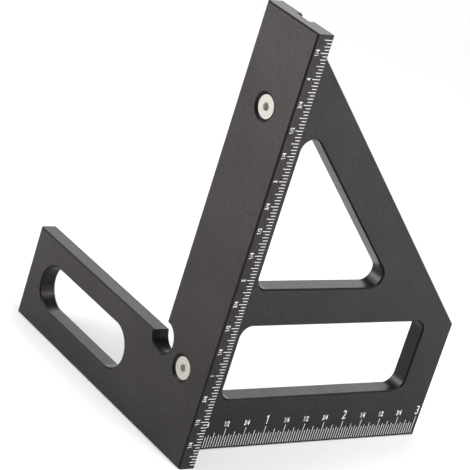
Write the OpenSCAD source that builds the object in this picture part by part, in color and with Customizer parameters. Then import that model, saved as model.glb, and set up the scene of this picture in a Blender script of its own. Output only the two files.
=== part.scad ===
// Woodworker's set square for marking 45 and 90 degree lines round the corner of a board.
// An L-shaped fence plate carries a five-sided blade plate, which seats in a groove down
// the fence's inner face and is held there by two countersunk socket screws.
// X runs along the blade, Y across the fence, Z up. The origin is the heel of the square:
// the fence's inner face, the blade's middle plane and the plane that the square stands on.

/* [Blade] */
// Reach of the blade from the fence's inner face to its upright end
blade_reach = 77.7; // [60:0.1:120]
// Height of the blade's upright end
blade_end_h = 33.2; // [32:0.1:50]
// Thickness of the blade plate
blade_t = 5; // [4.5:0.1:8]
// Angle between the blade's slanted edge and its base
slant_angle = 45; // [40:1:50]
// Height of the rail under the lower window, which carries the base scale
base_rail_h = 14.1; // [9:0.1:18]
// Height of the lower window
low_window_h = 20.2; // [12:0.1:22]
// Height of the rail between the two windows
cross_rail_h = 10.1; // [6:0.05:16]
// Width of the rail along the slanted edge
slant_rail_w = 10.5; // [6:0.05:14]
// Width of the rail at the upright end
end_rail_w = 10.1; // [6:0.1:16]
// Width of the rail beside the fence, which the screws thread into
heel_rail_w = 8; // [7:0.1:12]
// Radius of the windows' corners
window_r = 3.1; // [1:0.1:4]

/* [Fence] */
// Thickness of the fence plate
fence_t = 5; // [4.5:0.1:8]
// Width of the fence's upright bar, across the blade
bar_w = 20; // [14:0.5:32]
// How far the bar stands above the top of the blade's slanted edge
bar_rise = 1.8; // [1:0.1:8]
// Reach of the arm past the bar
arm_reach = 59; // [52:0.5:100]
// Height of the arm
arm_h = 25.1; // [22:0.1:32]
// Radius of the round relief in the corner of bar and arm
relief_r = 4; // [2:0.1:5]
// How far the relief's centre lies inside each edge of that corner
relief_shift = 0.15; // [0:0.05:1]

/* [Arm slot] */
// Width of the slot in the arm
slot_w = 12; // [6:0.5:13]
// Length of the slot from end to end
slot_l = 40.1; // [20:0.1:42]
// Height of the slot's middle line above the foot
slot_mid_h = 12.95; // [10:0.05:14]
// Wall between the slot and the arm's end
slot_end_wall = 6.4; // [3:0.1:10]

/* [Blade seat] */
// Depth of the groove that the blade seats in
groove_depth = 2; // [1:0.1:2.2]
// Clearance between the blade and each wall of its groove
seat_gap = 0.05; // [0.02:0.01:0.2]
// Width of the flat at the top of the blade
tip_flat = 0.5; // [0.2:0.1:2]

/* [Screws] */
// Nominal diameter of the screws
screw_d = 3; // [2.5:0.1:3.2]
// Length of a screw with its head
screw_l = 8; // [7:0.5:10]
// Diameter of a screw's head
head_d = 5.7; // [5.4:0.1:6.4]
// Height of the straight rim round a screw's head
head_rim_h = 0.25; // [0.1:0.05:0.4]
// How far the heads lie below the fence's outer face
head_sink = 0.5; // [0.2:0.05:0.7]
// Width across the flats of a screw's hex socket
socket_w = 2; // [1.5:0.1:2.4]
// Depth of a screw's hex socket
socket_depth = 1.1; // [0.6:0.1:1.4]
// Pitch of the screws' thread
thread_pitch = 0.5; // [0.35:0.05:0.7]
// Depth of the screws' thread
thread_depth = 0.27; // [0.15:0.01:0.35]
// Radial clearance of a screw in the hole through the fence
shank_gap = 0.2; // [0.1:0.05:0.4]
// Clearance under a screw's head, between its cone and the countersink
head_gap = 0.03; // [0.02:0.01:0.1]
// Radial clearance of a screw's thread in the blade's tapped hole
thread_gap = 0.03; // [0.02:0.01:0.1]
// Depth of tapped hole past the end of a screw
tap_rest = 1; // [0.5:0.1:1.5]
// Distance of each screw from the nearer end of the bar
screw_end_gap = 22.15; // [16:0.05:26]

/* [Edges] */
// Size of the 45 degree break on every edge but the two kinds below
edge_break = 0.4; // [0.1:0.05:0.5]
// Size of the break along the inner top edges of bar and arm
top_break = 0.55; // [0.1:0.05:0.6]
// Size of the break round the slot's inner rim
slot_break = 0.7; // [0.1:0.05:0.8]

/* [Scales] */
// Unit of both scales, which is one inch
scale_unit = 25.4; // [20:0.1:30]
// Number of divisions in a unit
divisions = 32; // [16:16:32]
// Depth of the engraved marks
mark_depth = 0.04; // [0.02:0.01:0.1]
// Height of the edge scale's zero above the foot
edge_zero_h = 0.25; // [0:0.05:1]
// Width of a mark on the fence's edge
edge_mark_w = 0.18; // [0.12:0.01:0.4]
// Flat left between the edge break and the marks beside it
edge_mark_gap = 0.05; // [0.02:0.01:0.3]
// Lengths of the edge marks at odd divisions, at even ones and at every fourth
edge_mark_l = [1.35, 1.75, 2.2]; // [1:0.05:3]
// Width of a mark on the blade
base_mark_w = 0.16; // [0.1:0.01:0.4]
// Height of the base marks' feet above the blade's base
base_mark_rise = 0.75; // [0.6:0.05:1.5]
// Lengths of the base marks at odd divisions, at even ones, at every fourth and every eighth
base_mark_l = [3.05, 3.5, 4.1, 5.1]; // [2:0.05:7]
// Bare length left past the last mark of each scale
scale_end_gap = 1.2; // [1:0.1:4]

/* [Hidden] */
$fn = 96;
// Overrun of every cut past the face that it leaves
overrun = 0.5;
// Height of the slanted edge's top end, where it meets the fence's inner face
slant_top_h = blade_end_h + blade_reach * tan(slant_angle);
bar_h = slant_top_h + bar_rise;
// How far the blade's tongue reaches into the groove, clear of its floor
tongue_depth = groove_depth - seat_gap;
// Height of the flat at the blade's top
tip_h = slant_top_h - tip_flat * tan(slant_angle);
low_window_top_h = base_rail_h + low_window_h;
up_window_base_h = low_window_top_h + cross_rail_h;
slot_r = slot_w / 2;
head_r = head_d / 2;
screw_r = screw_d / 2;
head_top_x = head_sink - fence_t;
upper_screw_h = bar_h - screw_end_gap;
lower_screw_h = screw_end_gap;
division = scale_unit / divisions;
edge_marks = floor((bar_h - edge_zero_h - scale_end_gap) / division);
base_marks = floor((blade_reach - scale_end_gap) / division);

// Section of an edge break of this size. The edge is at the origin and the material on its
// right, above it where up is 1 and below it where up is -1
module break_section(size, up) {
    reach = size + overrun;
    polygon([[-overrun, -overrun * up], [reach, -overrun * up], [-overrun, reach * up]]);
}

// Breaks the straight edge from a to b, with the material on the left of that line
module edge_cut(a, b, past, z, size, up) {
    run = b - a;
    translate([a.x, a.y, z])
        rotate([0, 0, atan2(run.y, run.x)])
            translate([-past, 0, 0])
                rotate([90, 0, 90])
                    linear_extrude(norm(run) + 2 * past)
                        break_section(size, up);
}

// Breaks the rim of a round hole about this centre
module rim_cut(centre, r, z, size, up) {
    translate([centre.x, centre.y, z])
        rotate_extrude()
            translate([r, 0])
                break_section(size, up);
}

// A plate of this outline with every edge of both faces broken. Its far face has a break of
// its own size along each side of the outline
module broken_plate(outline, thickness, far_breaks) {
    difference() {
        linear_extrude(thickness)
            polygon(outline);
        for (i = [0 : len(outline) - 1]) {
            next = outline[(i + 1) % len(outline)];
            edge_cut(outline[i], next, overrun, 0, edge_break, 1);
            edge_cut(outline[i], next, overrun, thickness, far_breaks[i], -1);
        }
    }
}

// Where side i of a round-cornered opening leaves one corner round and meets the next
function side_points(centres, r, i) =
    let (a = centres[i], b = centres[(i + 1) % len(centres)], run = (b - a) / norm(b - a))
    [a + r * [run.y, -run.x], b + r * [run.y, -run.x]];

// A through opening whose corner rounds have these centres, listed anticlockwise, with its
// rim broken on both faces
module opening_cut(centres, r, thickness, far_break) {
    sides = [for (i = [0 : len(centres) - 1]) side_points(centres, r, i)];
    translate([0, 0, -overrun])
        linear_extrude(thickness + 2 * overrun) {
            polygon([for (side = sides, p = side) p]);
            for (c = centres)
                translate(c)
                    circle(r);
        }
    for (i = [0 : len(centres) - 1]) {
        edge_cut(sides[i][1], sides[i][0], 0, 0, edge_break, 1);
        edge_cut(sides[i][1], sides[i][0], 0, thickness, far_break, -1);
        rim_cut(centres[i], r, 0, edge_break, 1);
        rim_cut(centres[i], r, thickness, far_break, -1);
    }
}

// Stands a flat shape up along X: its own X and Y become Y and Z
module upright_fence() {
    rotate([90, 0, 90])
        children();
}

// Lays a shape drawn along Z on the screw axis at this height, pointing at the blade
module on_screw_axis(height) {
    translate([0, 0, height])
        rotate([0, 90, 0])
            children();
}

// The fence's outline, seen along X, starting at the foot under the bar's free edge
function fence_outline() = [
    [-bar_w / 2, 0],
    [bar_w / 2 + arm_reach, 0],
    [bar_w / 2 + arm_reach, arm_h],
    [bar_w / 2, arm_h],
    [bar_w / 2, bar_h],
    [-bar_w / 2, bar_h]
];

// Breaks of the fence's inner face, side by side of its outline: foot, arm's end, arm's top
// edge, bar above the arm, bar's top end and scaled edge
function fence_inner_breaks() =
    [edge_break, edge_break, top_break, edge_break, top_break, edge_break];

module relief_cut() {
    centre = [bar_w / 2 - relief_shift, arm_h + relief_shift];
    translate([centre.x, centre.y, -overrun])
        cylinder(h = fence_t + 2 * overrun, r = relief_r);
    rim_cut(centre, relief_r, 0, edge_break, 1);
    rim_cut(centre, relief_r, fence_t, edge_break, -1);
}

module slot_cut() {
    far = bar_w / 2 + arm_reach - slot_end_wall - slot_r;
    near = far - slot_l + slot_w;
    opening_cut([[near, slot_mid_h], [far, slot_mid_h]], slot_r, fence_t, slot_break);
}

module groove_cut() {
    width = blade_t + 2 * seat_gap;
    translate([-groove_depth, -width / 2, -overrun])
        cube([groove_depth + overrun, width, bar_h + 2 * overrun]);
}

// A clearance hole and the cone that takes a screw's head
module screw_hole_cut() {
    translate([0, 0, -fence_t - overrun])
        cylinder(h = fence_t + 2 * overrun, r = screw_r + shank_gap);
    cone_tip_x = head_top_x + head_rim_h + head_r + head_gap;
    cone_r = cone_tip_x + fence_t + overrun;
    translate([0, 0, -fence_t - overrun])
        cylinder(h = cone_r, r1 = cone_r, r2 = 0);
}

// The longest of these lengths whose divisions this mark falls on
function mark_length(lengths, mark) =
    let (ranks = [for (rank = [0 : len(lengths) - 1]) if (mark % pow(2, rank) == 0) rank])
    lengths[max(ranks)];

// The marks of the scale on the bar's edge, which run in from the break of the inner face
module edge_scale_cut() {
    for (mark = [1 : edge_marks]) {
        length = mark_length(edge_mark_l, mark);
        translate([
            -edge_break - edge_mark_gap - length,
            -bar_w / 2 - overrun,
            edge_zero_h + mark * division - edge_mark_w / 2
        ])
            cube([length, overrun + mark_depth, edge_mark_w]);
    }
}

// The marks of the scale along the blade's base, on the face that meets the scaled edge
module base_scale_cut() {
    for (mark = [1 : base_marks])
        translate([
            mark * division - base_mark_w / 2,
            -blade_t / 2 - overrun,
            base_mark_rise
        ])
            cube([base_mark_w, overrun + mark_depth, mark_length(base_mark_l, mark)]);
}

module fence() {
    color([0.31, 0.3, 0.29])
        difference() {
            translate([-fence_t, 0, 0])
                upright_fence()
                    difference() {
                        broken_plate(fence_outline(), fence_t, fence_inner_breaks());
                        relief_cut();
                        slot_cut();
                    }
            groove_cut();
            edge_scale_cut();
            for (height = [lower_screw_h, upper_screw_h])
                on_screw_axis(height)
                    screw_hole_cut();
        }
}

// The blade's outline, seen along Y, with the tongue that seats in the groove
function blade_outline() = [
    [-tongue_depth, 0],
    [blade_reach, 0],
    [blade_reach, blade_end_h],
    [tip_flat, tip_h],
    [-tongue_depth, tip_h]
];

// Centres of the lower window's corner rounds
function low_window_centres() =
    let (
        left = heel_rail_w + window_r,
        right = blade_reach - end_rail_w - window_r,
        low = base_rail_h + window_r,
        high = low_window_top_h - window_r
    )
    [[left, low], [right, low], [right, high], [left, high]];

// Centres of the upper window's corner rounds: the slanted side runs beside the slanted edge
function up_window_centres() =
    let (
        left = heel_rail_w + window_r,
        low = up_window_base_h + window_r,
        drop = (slant_rail_w + window_r) / cos(slant_angle),
        high = slant_top_h - drop - left * tan(slant_angle),
        right = (slant_top_h - drop - low) / tan(slant_angle)
    )
    [[left, low], [right, low], [left, high]];

// A blind hole for a screw's thread, from the tongue's edge
module tapped_hole_cut() {
    tap_end = head_top_x + screw_l + tap_rest;
    translate([0, 0, -fence_t])
        cylinder(h = fence_t + tap_end, r = screw_r + thread_gap);
}

module blade() {
    color([0.3, 0.3, 0.31])
        difference() {
            translate([0, blade_t / 2, 0])
                rotate([90, 0, 0])
                    difference() {
                        broken_plate(blade_outline(), blade_t, [for (p = blade_outline()) edge_break]);
                        opening_cut(low_window_centres(), window_r, blade_t, edge_break);
                        opening_cut(up_window_centres(), window_r, blade_t, edge_break);
                    }
            base_scale_cut();
            for (height = [lower_screw_h, upper_screw_h])
                on_screw_axis(height)
                    tapped_hole_cut();
        }
}

// Half of a screw's outline, from the head's top down to its point:
// the rim, the cone under it, and a thread of ridges
function screw_profile() =
    let (
        root_r = screw_r - thread_depth,
        shank_top = head_rim_h + head_r - screw_r,
        ridges = floor((screw_l - shank_top - thread_pitch) / thread_pitch)
    )
    concat(
        [[0, 0], [head_r, 0], [head_r, head_rim_h]],
        [for (i = [0 : ridges - 1], part = [0, 1])
            [part == 0 ? screw_r : root_r, shank_top + (i + part / 2) * thread_pitch]],
        [[screw_r, shank_top + ridges * thread_pitch],
         [root_r, screw_l],
         [0, screw_l]]
    );

// A countersunk socket screw along Z, its head's top at zero
module socket_screw() {
    color([0.87, 0.86, 0.84])
        difference() {
            rotate_extrude()
                polygon(screw_profile());
            translate([0, 0, -overrun])
                rotate([0, 0, 30])
                    cylinder(h = socket_depth + overrun, r = socket_w / sqrt(3), $fn = 6);
        }
}

module upper_screw() {
    on_screw_axis(upper_screw_h)
        translate([0, 0, head_top_x])
            socket_screw();
}

module lower_screw() {
    on_screw_axis(lower_screw_h)
        translate([0, 0, head_top_x])
            socket_screw();
}

fence();
blade();
upper_screw();
lower_screw();
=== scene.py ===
"""A woodworker's set square: black anodised plates with white laser marks and two steel screws.

The fence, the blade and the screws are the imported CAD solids, which get their finishes here.
The white of the two scales is made here: a bar in each engraved mark, and the scales' numbers.
X runs along the blade, Y across the fence and Z up. Sizes are in millimetres until a mesh or
a light is placed, which is done in metres.
"""

import math

import bmesh
import bpy
import numpy as np
from mathutils import Matrix, Vector


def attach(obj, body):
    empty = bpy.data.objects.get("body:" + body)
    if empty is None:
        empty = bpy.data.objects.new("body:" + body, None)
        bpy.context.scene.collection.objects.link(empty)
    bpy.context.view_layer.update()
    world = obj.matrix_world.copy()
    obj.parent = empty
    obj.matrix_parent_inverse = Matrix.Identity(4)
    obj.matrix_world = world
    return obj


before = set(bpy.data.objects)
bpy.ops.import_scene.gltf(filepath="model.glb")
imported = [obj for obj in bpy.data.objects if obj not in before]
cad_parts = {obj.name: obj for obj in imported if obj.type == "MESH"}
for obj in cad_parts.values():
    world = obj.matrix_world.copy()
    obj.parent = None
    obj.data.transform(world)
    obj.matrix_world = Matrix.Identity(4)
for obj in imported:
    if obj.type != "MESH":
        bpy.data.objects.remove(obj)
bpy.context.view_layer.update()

MM = 0.001
INCH = 25.4

# The solids' own sizes, as the part's source has them
BAR_W = 20.0
BLADE_T = 5.0
EDGE_BREAK = 0.4
MARK_DEPTH = 0.04
SCREW_HEIGHTS = {"lower_screw": 22.15, "upper_screw": 90.55}
# A screw's socket: its reach from the axis, and the middle and half of its depth along X
SOCKET_REACH = 1.22
SOCKET_MIDDLE = -3.9
SOCKET_HALF = 0.58

# Both scales: marks to the inch, and the marks that have a number
MARKS_PER_INCH = 32
DIVISION = INCH / MARKS_PER_INCH
NUMBER_EVERY = 8
FRACTIONS = {8: "1/4", 16: "1/2", 24: "3/4"}

# The scale on the bar's edge, which reads upwards
EDGE_MARKS = 140
EDGE_ZERO_H = 0.25  # height of the scale's zero above the foot
EDGE_MARK_W = 0.18
EDGE_MARK_GAP = 0.05  # from the inner face's broken edge to a mark's foot
EDGE_MARK_L = (1.35, 1.75, 2.2)  # at every mark, every second and every fourth
EDGE_NUMBER_H = 1.1
EDGE_NUMBER_FOOT = -3.15  # X that the numbers stand on
EDGE_NARROWING = 0.85
EDGE_WEIGHT = 0.02

# The scale along the blade's base
BASE_MARKS = 96
BASE_MARK_W = 0.16
BASE_MARK_RISE = 0.75  # from the base up to a mark's foot
BASE_MARK_L = (3.05, 3.5, 4.1, 5.1)  # at every mark, every second, fourth and eighth
BASE_FRACTION_H = 1.5
BASE_WHOLE_H = 2.55
BASE_NUMBER_FOOT = 6.45  # Z that the numbers stand on
BASE_NUMBER_SHIFT = -0.2  # from a mark to its number's middle, along X
BASE_FRACTION_NARROWING = 0.61
BASE_WHOLE_NARROWING = 0.76
BASE_FRACTION_WEIGHT = 0.035
BASE_WHOLE_WEIGHT = 0.0

# The digit 1 with its flag, and the fraction's stroke, as outlines in shares of their height,
# about the middle of their room
OUTLINES = {
    "1": ((-0.03, 0), (0.1, 0), (0.1, 1), (0, 1), (-0.22, 0.83), (-0.22, 0.68), (-0.03, 0.82)),
    "/": ((-0.2, 0), (-0.08, 0), (0.2, 1), (0.08, 1)),
}
# The widths that a digit and the stroke take up in a number, in the same shares
DIGIT_ROOM = 0.74
STROKE_ROOM = 0.42
# The other digits come from the built-in font, at size 1: straight steps in each piece of a
# curve, half the thickness that they are first given, and how near two corners are one
FONT_STEPS = 3
FONT_HALF_THICKNESS = 0.1
FONT_MERGE = 1e-5

# How far the white stands above the metal, and how deep a number's underside lies in it
PROUD = 0.006
SUNK = 0.03
# Clear width between a mark's white and each wall of its groove
MARK_EASE = 0.004

# Roughness of the blasted skin, from its smoothest grain to its roughest, of the milled walls
# from line to line, of a broken edge, and of the screws' steel from grain to grain
SATIN_LOW = 0.30
SATIN_HIGH = 0.42
WALL_LOW = 0.30
WALL_HIGH = 0.43
EDGE_SATIN = 0.4
STEEL_LOW = 0.5
STEEL_HIGH = 0.65
# How squarely a plate's surface faces along the thickness, from 0 to 1. Below the first it is a
# wall, above the second a face, and between them a broken edge or a countersink.
WALL_LIMIT = 0.3
FACE_LIMIT = 0.95
# Nearly all of a noise's values lie between these
NOISE_LOW = 0.3
NOISE_HIGH = 0.7

# Sizes of the finishes' patterns. The blasted grain and the cutter's lines are really about
# 0.1 mm, and are drawn coarser because a pixel is 0.24 mm.
BLASTED_GRAIN = 0.3
CUTTER_LINE = 0.35
DYE_CLOUD = 18.0
STEEL_GRAIN = 0.25
LATHE_RING = 0.7
LASER_PULSE = 0.15
PAPER_FIBRE = 4.0
# The wave texture's scale at which its rings lie one unit apart
RINGS_ONE_APART = 0.314
# Share of the dye's clouds in a plate's tone, and of the lathe rings in the steel's
CLOUD_SHARE = 0.25
RING_SHARE = 0.2
# Depth of the relief in the plates' skin and in the steel
PLATE_RELIEF = 0.03
STEEL_RELIEF = 0.01


def linear(hex_colour):
    """An sRGB hex value as linear red, green, blue and full alpha."""
    parts = [int(hex_colour[i : i + 2], 16) / 255 for i in (1, 3, 5)]
    return [c / 12.92 if c <= 0.04045 else ((c + 0.055) / 1.055) ** 2.4 for c in parts] + [1.0]


def add(tree, kind, links=(), values=(), stops=(), **settings):
    """Adds a node: settings are its properties, values its sockets' constants, links the outputs
    that feed its sockets, and stops a colour ramp's places and colours."""
    node = tree.nodes.new(kind)
    for name, value in settings.items():
        setattr(node, name, value)
    for socket, value in dict(values).items():
        node.inputs[socket].default_value = value
    for socket, source in dict(links).items():
        tree.links.new(source, node.inputs[socket])
    for element, (position, colour) in zip(node.color_ramp.elements if stops else (), stops):
        element.position, element.color = position, linear(colour)
    return node


def material(name):
    """An empty material with its shader and output, and the coordinates in the object's metres."""
    made = bpy.data.materials.new(name)
    made.use_nodes = True
    tree = made.node_tree
    tree.nodes.clear()
    shader = tree.nodes.new("ShaderNodeBsdfPrincipled")
    add(tree, "ShaderNodeOutputMaterial", {"Surface": shader.outputs["BSDF"]})
    return made, tree, shader, tree.nodes.new("ShaderNodeTexCoord")


def anodised_aluminium(plate, thickness_axis, across, dull, bright, edge):
    """Aluminium plate, bead-blasted and anodised black: a dark satin metal with a faint grain. Its
    edges were broken after the blasting and have a roughness of their own; their darker colour is
    painted shade, for the dark lines that the edges show where they mirror dark parts of the room.
    The walls keep the end mill's lines, which run straight through the plate's thickness where
    `across` is 1, and round the plate, along each wall, where it is 0."""
    made, tree, shader, where = material(f"black_anodised_aluminium_{plate}")
    place = where.outputs["Object"]
    grain = add(
        tree,
        "ShaderNodeTexNoise",
        {"Vector": place},
        {"Scale": 1 / (BLASTED_GRAIN * MM), "Detail": 3.0},
    )
    # the dye takes unevenly over some centimetres
    cloud = add(
        tree,
        "ShaderNodeTexNoise",
        {"Vector": place},
        {"Scale": 1 / (DYE_CLOUD * MM), "Detail": 2.0},
    )
    # the cutter's lines don't vary along themselves, so those directions are flattened
    through = [1.0 - across if axis == thickness_axis else across for axis in "XYZ"]
    level = add(tree, "ShaderNodeVectorMath", {0: place}, {1: through}, operation="MULTIPLY")
    lines = add(
        tree,
        "ShaderNodeTexNoise",
        {"Vector": level.outputs["Vector"]},
        {"Scale": 1 / (CUTTER_LINE * MM), "Detail": 1.0},
    )
    split = add(tree, "ShaderNodeSeparateXYZ", {"Vector": where.outputs["Normal"]})
    square = add(
        tree, "ShaderNodeMath", {0: split.outputs[thickness_axis]}, operation="ABSOLUTE"
    ).outputs["Value"]
    wall = add(tree, "ShaderNodeMath", {0: square}, {1: WALL_LIMIT}, operation="LESS_THAN")
    face = add(tree, "ShaderNodeMath", {0: square}, {1: FACE_LIMIT}, operation="GREATER_THAN")
    blasted = add(
        tree,
        "ShaderNodeMath",
        {0: wall.outputs["Value"], 1: face.outputs["Value"]},
        operation="ADD",
    ).outputs["Value"]

    speckle = add(
        tree,
        "ShaderNodeMix",
        {2: grain.outputs["Fac"], 3: cloud.outputs["Fac"]},
        {0: CLOUD_SHARE},
    )
    skin = add(
        tree,
        "ShaderNodeValToRGB",
        {"Fac": speckle.outputs[0]},
        stops=((NOISE_LOW, dull), (NOISE_HIGH, bright)),
    )
    # painted shade: the broken edges and countersinks get the darker edge colour in place of the
    # skin
    colour = add(
        tree,
        "ShaderNodeMix",
        {0: blasted, 7: skin.outputs["Color"]},
        {6: linear(edge)},
        data_type="RGBA",
    )
    tree.links.new(colour.outputs[2], shader.inputs["Base Color"])
    satin = add(
        tree,
        "ShaderNodeMapRange",
        {"Value": grain.outputs["Fac"]},
        {"To Min": SATIN_LOW, "To Max": SATIN_HIGH},
    )
    milled = add(
        tree,
        "ShaderNodeMapRange",
        {"Value": lines.outputs["Fac"]},
        {"From Min": NOISE_LOW, "From Max": NOISE_HIGH, "To Min": WALL_LOW, "To Max": WALL_HIGH},
    )
    broad = add(
        tree,
        "ShaderNodeMix",
        {0: wall.outputs["Value"], 2: satin.outputs["Result"], 3: milled.outputs["Result"]},
    )
    rough = add(tree, "ShaderNodeMix", {0: blasted, 3: broad.outputs[0]}, {2: EDGE_SATIN})
    tree.links.new(rough.outputs[0], shader.inputs["Roughness"])
    height = add(
        tree,
        "ShaderNodeMath",
        {0: lines.outputs["Fac"], 1: wall.outputs["Value"], 2: grain.outputs["Fac"]},
        operation="MULTIPLY_ADD",
    )
    bump = add(
        tree,
        "ShaderNodeBump",
        {"Height": height.outputs["Value"]},
        {"Strength": 0.5, "Distance": PLATE_RELIEF * MM},
    )
    tree.links.new(bump.outputs["Normal"], shader.inputs["Normal"])
    shader.inputs["Metallic"].default_value = 1.0
    return made


def screw_steel(height):
    """Stainless steel screw, turned and tumbled: a pale satin head with faint lathe rings round its
    axis, and a broached socket painted a matt, pale grey-brown non-metal: painted shade that makes
    the recess look dark."""
    made, tree, shader, where = material(f"stainless_steel_turned_{height:.0f}")
    place = where.outputs["Object"]
    centred = add(
        tree, "ShaderNodeVectorMath", {0: place}, {1: (0, 0, height * MM)}, operation="SUBTRACT"
    ).outputs["Vector"]
    rings = add(
        tree,
        "ShaderNodeTexWave",
        {"Vector": centred},
        {"Scale": RINGS_ONE_APART / (LATHE_RING * MM), "Distortion": 0.6},
        wave_type="RINGS",
        rings_direction="X",
    )
    grain = add(
        tree,
        "ShaderNodeTexNoise",
        {"Vector": place},
        {"Scale": 1 / (STEEL_GRAIN * MM), "Detail": 3.0},
    )
    tone = add(
        tree,
        "ShaderNodeMix",
        {2: grain.outputs["Fac"], 3: rings.outputs["Fac"]},
        {0: RING_SHARE},
    )
    steel = add(
        tree,
        "ShaderNodeValToRGB",
        {"Fac": tone.outputs[0]},
        stops=((0.25, "#A09C96"), (0.75, "#B7B3AC")),
    )
    # the socket's walls and floor lie close to the axis and below the head's face
    radial = add(tree, "ShaderNodeVectorMath", {0: centred}, {1: (0, 1, 1)}, operation="MULTIPLY")
    radius = add(tree, "ShaderNodeVectorMath", {0: radial.outputs["Vector"]}, operation="LENGTH")
    near = add(
        tree,
        "ShaderNodeMath",
        {0: radius.outputs["Value"]},
        {1: SOCKET_REACH * MM},
        operation="LESS_THAN",
    )
    split = add(tree, "ShaderNodeSeparateXYZ", {"Vector": place})
    sunk = add(
        tree,
        "ShaderNodeMath",
        {0: split.outputs["X"]},
        {1: SOCKET_MIDDLE * MM, 2: SOCKET_HALF * MM},
        operation="COMPARE",
    )
    socket = add(
        tree,
        "ShaderNodeMath",
        {0: near.outputs["Value"], 1: sunk.outputs["Value"]},
        operation="MULTIPLY",
    )
    # painted shade: the socket takes a matt pale grey-brown in place of the steel, so the recess
    # looks dark
    colour = add(
        tree,
        "ShaderNodeMix",
        {0: socket.outputs["Value"], 6: steel.outputs["Color"]},
        {7: linear("#B7B1A7")},
        data_type="RGBA",
    )
    tree.links.new(colour.outputs[2], shader.inputs["Base Color"])
    # the socket's painted shade is no metal
    bare = add(
        tree, "ShaderNodeMath", {1: socket.outputs["Value"]}, {0: 1.0}, operation="SUBTRACT"
    )
    tree.links.new(bare.outputs["Value"], shader.inputs["Metallic"])
    rough = add(
        tree,
        "ShaderNodeMapRange",
        {"Value": grain.outputs["Fac"]},
        {"To Min": STEEL_LOW, "To Max": STEEL_HIGH},
    )
    tree.links.new(rough.outputs["Result"], shader.inputs["Roughness"])
    bump = add(
        tree,
        "ShaderNodeBump",
        {"Height": rings.outputs["Fac"]},
        {"Strength": 0.2, "Distance": STEEL_RELIEF * MM},
    )
    tree.links.new(bump.outputs["Normal"], shader.inputs["Normal"])
    return made


def laser_white():
    """Laser-cut white of the scales: bare bright oxide, matt, a little uneven from pulse to
    pulse."""
    made, tree, shader, where = material("laser_marked_oxide_white")
    pulses = add(
        tree,
        "ShaderNodeTexNoise",
        {"Vector": where.outputs["Object"]},
        {"Scale": 1 / (LASER_PULSE * MM), "Detail": 2.0},
    )
    white = add(
        tree,
        "ShaderNodeValToRGB",
        {"Fac": pulses.outputs["Fac"]},
        stops=((NOISE_LOW, "#C5C5C5"), (NOISE_HIGH, "#E6E6E6")),
    )
    tree.links.new(white.outputs["Color"], shader.inputs["Base Color"])
    shader.inputs["Roughness"].default_value = 0.75
    return made


def white_paper():
    """Seamless photographic paper under the square: near white, matt, with a faint fibre."""
    made, tree, shader, where = material("studio_paper")
    fibre = add(
        tree,
        "ShaderNodeTexNoise",
        {"Vector": where.outputs["Object"]},
        {"Scale": 1 / (PAPER_FIBRE * MM), "Detail": 2.0},
    )
    paper = add(
        tree,
        "ShaderNodeValToRGB",
        {"Fac": fibre.outputs["Fac"]},
        stops=((0.0, "#F3F3F2"), (1.0, "#F8F8F8")),
    )
    tree.links.new(paper.outputs["Color"], shader.inputs["Base Color"])
    shader.inputs["Roughness"].default_value = 0.9
    return made


def white_piece(name, points, faces, finish):
    """A closed mesh, given in millimetres, made a piece of the scales' white that rides on the
    one body."""
    mesh = bpy.data.meshes.new(name)
    mesh.from_pydata((points * MM).tolist(), [], faces)
    mesh.materials.append(finish)
    piece = bpy.data.objects.new(name, mesh)
    bpy.context.scene.collection.objects.link(piece)
    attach(piece, "root")


def mark_bars(name, low, high, finish):
    """Bars between rows of low and high corners: each bar's eight corners are the two corners'
    coordinates in every combination."""
    pick = np.array([[i, j, k] for i in (0, 1) for j in (0, 1) for k in (0, 1)])
    corners = np.where(pick[None] == 1, high[:, None, :], low[:, None, :])
    sides = np.array(
        [[0, 1, 3, 2], [4, 6, 7, 5], [0, 4, 5, 1], [2, 3, 7, 6], [0, 2, 6, 4], [1, 5, 7, 3]]
    )
    faces = sides[None] + 8 * np.arange(len(low))[:, None, None]
    white_piece(name, corners.reshape(-1, 3), faces.reshape(-1, 4).tolist(), finish)


def mark_lengths(lengths, marks):
    """Each mark's length: the longest whose power of two divides the mark's number."""
    ranks = np.array([[m % 2**r == 0 for r in range(len(lengths))] for m in marks])
    return np.where(ranks, np.array(lengths), 0).max(axis=1)


def edge_scale_bars(finish):
    """The white in the marks on the bar's edge. Mark m lies m divisions above the zero and runs
    outwards along X from its foot, which is beside the inner face's broken edge."""
    marks = np.arange(1, EDGE_MARKS + 1)
    length = mark_lengths(EDGE_MARK_L, marks)
    middle = EDGE_ZERO_H + marks * DIVISION
    foot = np.full(len(marks), -EDGE_BREAK - EDGE_MARK_GAP)
    face = np.full(len(marks), -BAR_W / 2)
    half = EDGE_MARK_W / 2 - MARK_EASE
    low = np.stack([foot - length + MARK_EASE, face - PROUD, middle - half], axis=1)
    high = np.stack([foot - MARK_EASE, face + MARK_DEPTH, middle + half], axis=1)
    mark_bars("edge_scale_marks", low, high, finish)


def base_scale_bars(finish):
    """The white in the marks along the blade's base. Mark m lies m divisions along X from the
    fence's inner face and runs up from its foot, which is just above the base."""
    marks = np.arange(1, BASE_MARKS + 1)
    length = mark_lengths(BASE_MARK_L, marks)
    middle = marks * DIVISION
    foot = np.full(len(marks), BASE_MARK_RISE)
    face = np.full(len(marks), -BLADE_T / 2)
    half = BASE_MARK_W / 2 - MARK_EASE
    low = np.stack([middle - half, face - PROUD, foot + MARK_EASE], axis=1)
    high = np.stack([middle + half, face + MARK_DEPTH, foot + length - MARK_EASE], axis=1)
    mark_bars("base_scale_marks", low, high, finish)


def outline_shape(outline):
    """An upright prism over a flat outline, one unit thick about zero: the outline's points below
    and above, and its floor, its top and a wall at each of its sides."""
    flat, count = np.asarray(outline, float), len(outline)
    points = np.concatenate([np.c_[flat, np.full(count, z)] for z in (-0.5, 0.5)])
    walls = [[i, (i + 1) % count, (i + 1) % count + count, i + count] for i in range(count)]
    return points, [list(range(count))[::-1], list(range(count, 2 * count))] + walls


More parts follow.
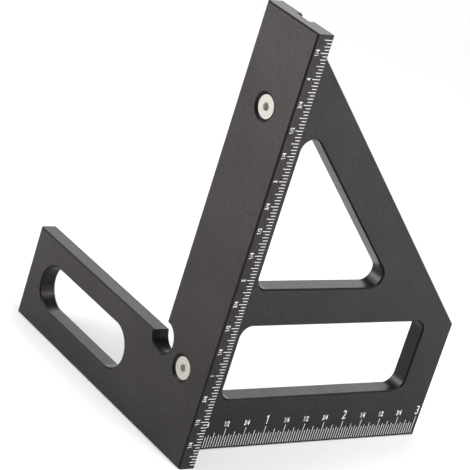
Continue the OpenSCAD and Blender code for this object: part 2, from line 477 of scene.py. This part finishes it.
def font_shape(letter, weight):
    """A letter of the built-in font as a closed shape, its strokes thickened by `weight`."""
    curve = bpy.data.curves.new("number", "FONT")
    curve.body = letter
    curve.size = 1.0
    curve.offset = weight
    curve.extrude = FONT_HALF_THICKNESS
    curve.resolution_u = FONT_STEPS
    made = bpy.data.objects.new("number", curve)
    bpy.context.scene.collection.objects.link(made)
    bpy.context.view_layer.update()
    evaluated = made.evaluated_get(bpy.context.evaluated_depsgraph_get())
    mesh = bpy.data.meshes.new_from_object(evaluated)
    work = bmesh.new()
    work.from_mesh(mesh)
    bmesh.ops.remove_doubles(work, verts=work.verts, dist=FONT_MERGE)
    bmesh.ops.recalc_face_normals(work, faces=work.faces)
    points = np.array([v.co for v in work.verts])
    faces = [[v.index for v in f.verts] for f in work.faces]
    work.free()
    bpy.data.objects.remove(made)
    bpy.data.meshes.remove(mesh)
    return points, faces


def number_shape(words, height, narrowing, weight):
    """A number or fraction as closed flat shapes: points in millimetres, centred on its width,
    standing on zero, `height` tall, its width times `narrowing`, with thickness from -SUNK to
    PROUD, and its faces. Every digit takes the same room, so all fractions are equally wide."""
    rooms = [STROKE_ROOM if letter == "/" else DIGIT_ROOM for letter in words]
    middles = np.cumsum(rooms) - np.array(rooms) / 2 - sum(rooms) / 2
    points, faces, count = [], [], 0
    for letter, middle in zip(words, middles):
        if letter in OUTLINES:
            shape, sides = outline_shape(OUTLINES[letter])
            flat = shape.copy()
        else:
            shape, sides = font_shape(letter, weight)
            low, high = shape.min(axis=0), shape.max(axis=0)
            flat = (shape - [(low[0] + high[0]) / 2, low[1], 0]) / (high[1] - low[1])
        flat[:, 0] += middle
        flat[:, :2] *= [height * narrowing, height]
        flat[:, 2] = np.where(shape[:, 2] > 0, PROUD, -SUNK)
        points.append(flat)
        faces += [[i + count for i in side] for side in sides]
        count += len(flat)
    return np.concatenate(points), faces


def scale_numbers(name, numbers, along, upward, outward, finish):
    """One piece with all the numbers of a scale. Each number's own right, up and outward
    directions become `along`, `upward` and `outward`, at its place."""
    turn = np.array([along, upward, outward], float)
    points, faces, count = [], [], 0
    for *look, place in numbers:
        shape, sides = number_shape(*look)
        points.append(shape @ turn + np.asarray(place))
        faces += [[i + count for i in side] for side in sides]
        count += len(shape)
    white_piece(name, np.concatenate(points), faces, finish)


def scale_words(mark):
    """What stands at a mark: a whole number of inches, or the fraction past the last one."""
    whole, part = divmod(mark, MARKS_PER_INCH)
    return str(whole) if part == 0 else FRACTIONS[part]


def edge_scale_numbers(finish):
    """The numbers on the bar's edge, which read upwards, with their tops towards the fence's
    outer face."""
    numbers = []
    for m in range(NUMBER_EVERY, EDGE_MARKS, NUMBER_EVERY):
        place = (EDGE_NUMBER_FOOT, -BAR_W / 2, EDGE_ZERO_H + m * DIVISION)
        numbers.append((scale_words(m), EDGE_NUMBER_H, EDGE_NARROWING, EDGE_WEIGHT, place))
    scale_numbers("edge_scale_numbers", numbers, (0, 0, 1), (-1, 0, 0), (0, -1, 0), finish)


def base_scale_numbers(finish):
    """The numbers above the base's marks, which stand upright, the whole ones taller."""
    whole = (BASE_WHOLE_H, BASE_WHOLE_NARROWING, BASE_WHOLE_WEIGHT)
    fraction = (BASE_FRACTION_H, BASE_FRACTION_NARROWING, BASE_FRACTION_WEIGHT)
    numbers = []
    for m in range(NUMBER_EVERY, BASE_MARKS + 1, NUMBER_EVERY):
        look = whole if m % MARKS_PER_INCH == 0 else fraction
        place = (m * DIVISION + BASE_NUMBER_SHIFT, -BLADE_T / 2, BASE_NUMBER_FOOT)
        numbers.append((scale_words(m), *look, place))
    scale_numbers("base_scale_numbers", numbers, (1, 0, 0), (0, 0, 1), (0, -1, 0), finish)


# The camera of the photograph, found from the two inch scales: where it stands, the point it
# aims at, how far it is rolled in degrees, and its lens
CAMERA_PLACE = (-326.64, -363.99, 243.13)
CAMERA_AIM = (-1.575, 0.0, 57.778)
CAMERA_ROLL = 17.725
CAMERA_LENS = 171.27
SENSOR = 36.0
# The nearest and the farthest that it sees, in metres
CAMERA_NEAR = 0.01
CAMERA_FAR = 20.0


def camera():
    data = bpy.data.cameras.new("camera")
    data.lens = CAMERA_LENS
    data.sensor_width = SENSOR
    data.clip_start, data.clip_end = CAMERA_NEAR, CAMERA_FAR
    made = bpy.data.objects.new("camera", data)
    bpy.context.scene.collection.objects.link(made)
    place, aim = Vector(CAMERA_PLACE) * MM, Vector(CAMERA_AIM) * MM
    level = (aim - place).to_track_quat("-Z", "Y").to_matrix()
    roll = Matrix.Rotation(math.radians(CAMERA_ROLL), 3, "Z")
    made.matrix_world = Matrix.Translation(place) @ (level @ roll).to_4x4()
    bpy.context.scene.camera = made


# Half the floor's side, in metres
FLOOR_HALF = 3.0
# A white sky's strength, and the soft boxes round the square: name, place, the point it faces,
# side in millimetres, and watts. Two hang over the floor that the plates mirror.
SKY = 0.4
SQUARE_MIDDLE = (20.0, 20.0, 50.0)
SOFT_BOXES = (
    ("light_in_front", (20, -780, 700), SQUARE_MIDDLE, 440, 6.3),
    ("light_low_in_front", (317, -277, 120), SQUARE_MIDDLE, 231, 0.28),
    ("light_behind_right", (586, 586, 250), SQUARE_MIDDLE, 440, 1.2),
    ("light_behind_left", (-546, 586, 250), SQUARE_MIDDLE, 440, 5.1),
    ("floor_light_right", (253, -213, 260), (253, -213, 0), 180, 0.85),
    ("floor_light_left", (-286, 144, 260), (-286, 144, 0), 180, 0.82),
    ("light_above_left", (-230, 490, 520), SQUARE_MIDDLE, 200, 0.5),
)


def soft_light(name, place, aim, size, power):
    """A square soft box that gives plain white light."""
    data = bpy.data.lights.new(name, "AREA")
    data.shape = "SQUARE"
    data.size = size * MM
    data.energy = power
    made = bpy.data.objects.new(name, data)
    bpy.context.scene.collection.objects.link(made)
    place, aim = Vector(place) * MM, Vector(aim) * MM
    made.location = place
    made.rotation_euler = (aim - place).to_track_quat("-Z", "Y").to_euler()
    made.visible_camera = False


def studio():
    """The pale floor, the sky and the soft boxes."""
    floor = bpy.data.meshes.new("floor")
    corners = [(x * FLOOR_HALF, y * FLOOR_HALF, 0) for x, y in ((-1, -1), (1, -1), (1, 1), (-1, 1))]
    floor.from_pydata(corners, [], [(0, 1, 2, 3)])
    floor.materials.append(white_paper())
    sheet = bpy.data.objects.new("floor", floor)
    bpy.context.scene.collection.objects.link(sheet)
    world = bpy.data.worlds.new("studio")
    world.use_nodes = True
    sky = world.node_tree.nodes["Background"]
    sky.inputs["Color"].default_value = linear("#FFFFFF")
    sky.inputs["Strength"].default_value = SKY
    bpy.context.scene.world = world
    for light in SOFT_BOXES:
        soft_light(*light)
    bpy.context.scene.view_settings.view_transform = "Standard"


camera()
studio()
finishes = {
    # each plate's edge colour is painted shade on its broken edges and countersinks
    "fence": anodised_aluminium(
        "fence", thickness_axis="X", across=0.0, dull="#2A2727", bright="#413D3E", edge="#262525"
    ),
    "blade": anodised_aluminium(
        "blade", thickness_axis="Y", across=1.0, dull="#29282A", bright="#3D3B3D", edge="#1C1B1C"
    ),
}
for name, height in SCREW_HEIGHTS.items():
    finishes[name] = screw_steel(height)
for name, finish in finishes.items():
    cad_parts[name].data.materials.clear()
    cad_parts[name].data.materials.append(finish)
white = laser_white()
edge_scale_bars(white)
base_scale_bars(white)
edge_scale_numbers(white)
base_scale_numbers(white)
